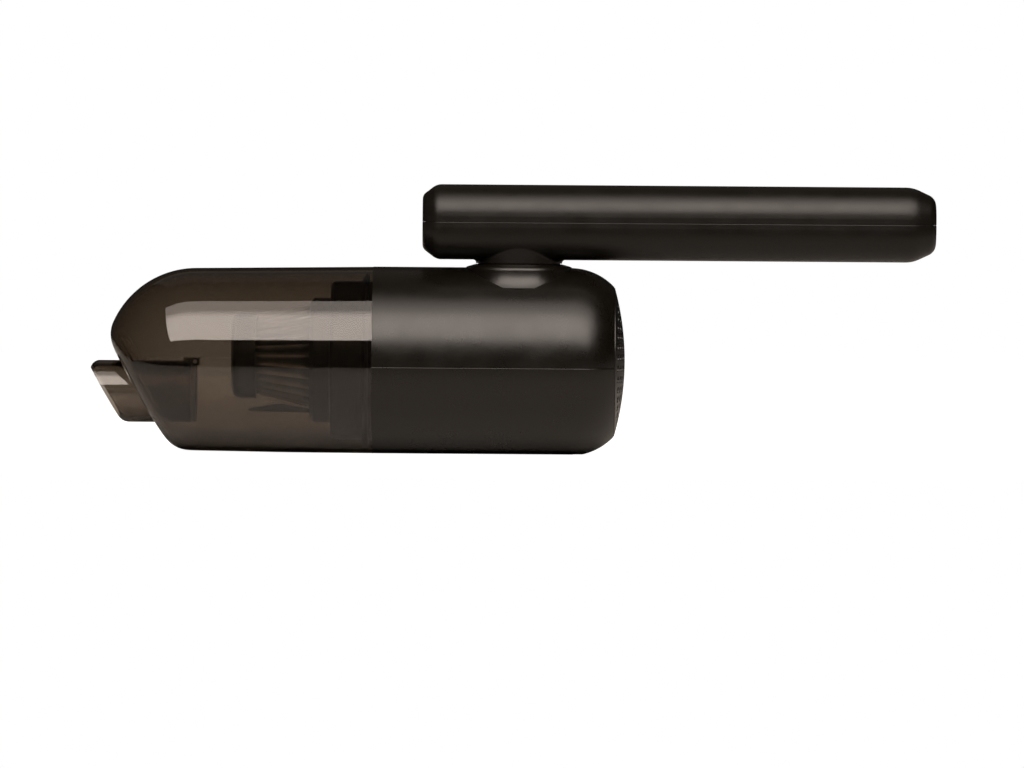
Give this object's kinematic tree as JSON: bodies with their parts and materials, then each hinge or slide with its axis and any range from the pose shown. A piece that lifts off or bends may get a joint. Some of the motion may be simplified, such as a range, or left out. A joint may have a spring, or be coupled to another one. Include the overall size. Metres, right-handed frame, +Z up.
{
  "type": "handheld vacuum",
  "caption": "Cordless handheld vacuum: round motor body, clear push-on dust bin with slanted stub nozzle, and a battery handle that swivels over the body.",
  "frame": {"origin": "on the flat underside of the motor body, straight below the swivel axis of the handle", "axes": "+Z up along the swivel axis, +X along the body towards the handle's free end, nozzle at -X"},
  "size_m": [0.3284, 0.0732, 0.1049],
  "materials": {
    "black_plastic": "fine-grained matt black moulded plastic",
    "handle_black": "matt black moulded plastic with a softer grain than the body's",
    "dark_plastic": "plain black moulded plastic",
    "button_black": "satin black moulded plastic",
    "smoked_clear": "smoked brown clear plastic, polished",
    "clear_plastic": "clear plastic",
    "white_plastic": "off-white engineering plastic",
    "flap_grey": "grey flexible flap",
    "filter_paper": "pleated filter paper",
    "foam": "open-cell foam",
    "seal_rubber": "soft black rubber",
    "screw_steel": "zinc-plated steel",
    "motor_steel": "pressed steel",
    "magnet_grey": "ferrite",
    "carbon": "carbon",
    "bronze": "sintered bronze",
    "copper": "enamelled copper",
    "lead_red": "wire insulation",
    "cell_wrap": "shrink-wrapped battery cell",
    "nickel": "nickel plate",
    "board_green": "circuit board with solder mask"
  },
  "bodies": {
    "motor_body": {"body_upper_shell": "black_plastic", "body_lower_shell": "black_plastic", "body_screws": "screw_steel", "inlet_collar": "dark_plastic", "bin_seal": "seal_rubber", "fan_gasket": "seal_rubber", "fan_cover": "dark_plastic", "diffuser_plate": "dark_plastic", "motor_screws": "screw_steel", "motor_can": "motor_steel", "motor_magnets": "magnet_grey", "motor_endbell": "dark_plastic", "carbon_brushes": "carbon", "front_bearing": "bronze", "rear_bearing": "bronze", "motor_rear_mount": "seal_rubber", "motor_leads": "lead_red", "exhaust_foam": "foam", "exhaust_grille": "black_plastic", "swivel_washer": "white_plastic"},
    "rotor": {"motor_shaft": "screw_steel", "impeller": "white_plastic", "armature": "motor_steel", "armature_windings": "copper", "commutator": "copper"},
    "dust_bin": {"bin_shell": "smoked_clear", "inlet_nozzle": "smoked_clear", "flap_pin": "screw_steel"},
    "flap": {"inlet_flap": "flap_grey"},
    "filter": {"filter_cap": "dark_plastic", "filter_pleats": "filter_paper", "filter_frame": "dark_plastic", "filter_seal": "seal_rubber"},
    "handle": {"handle_upper_shell": "handle_black", "handle_lower_shell": "handle_black", "handle_screws": "screw_steel", "swivel_tube": "dark_plastic", "swivel_retainer": "dark_plastic", "swivel_clip": "screw_steel", "battery_cell_front": "cell_wrap", "battery_cell_rear": "cell_wrap", "battery_straps": "nickel", "battery_holder": "dark_plastic", "control_board": "board_green", "tact_switch": "dark_plastic", "button_spring": "screw_steel", "light_pipe": "clear_plastic", "charge_board": "board_green", "usb_socket": "nickel"},
    "button": {"power_button": "button_black"}
  },
  "joints": [
    {"name": "handle_swivel", "type": "hinge", "parent": "motor_body", "child": "handle", "pos_m": [0, 0, 0.0741], "axis": [0, 0, 1], "range_deg": [0, 180]},
    {"name": "power_press", "type": "slide", "parent": "handle", "child": "button", "axis": [0, 0, -1], "range_m": [0, 0.001], "stiffness_N_per_m": 1500, "springref_m": -0.0004, "deforming": ["button_spring"]},
    {"name": "bin_pull", "type": "slide", "parent": "motor_body", "child": "dust_bin", "axis": [-1, 0, 0], "range_m": [0, 0.09]},
    {"name": "flap_swing", "type": "hinge", "parent": "dust_bin", "child": "flap", "pos_m": [-0.1258, 0, 0.0352], "axis": [0, -1, 0], "range_deg": [0, 30]},
    {"name": "filter_pull", "type": "slide", "parent": "motor_body", "child": "filter", "axis": [-1, 0, 0], "range_m": [0, 0.012]},
    {"name": "motor_spin", "type": "hinge", "parent": "motor_body", "child": "rotor", "pos_m": [-0.02, 0, 0.036], "axis": [1, 0, 0], "continuous": true}
  ]
}
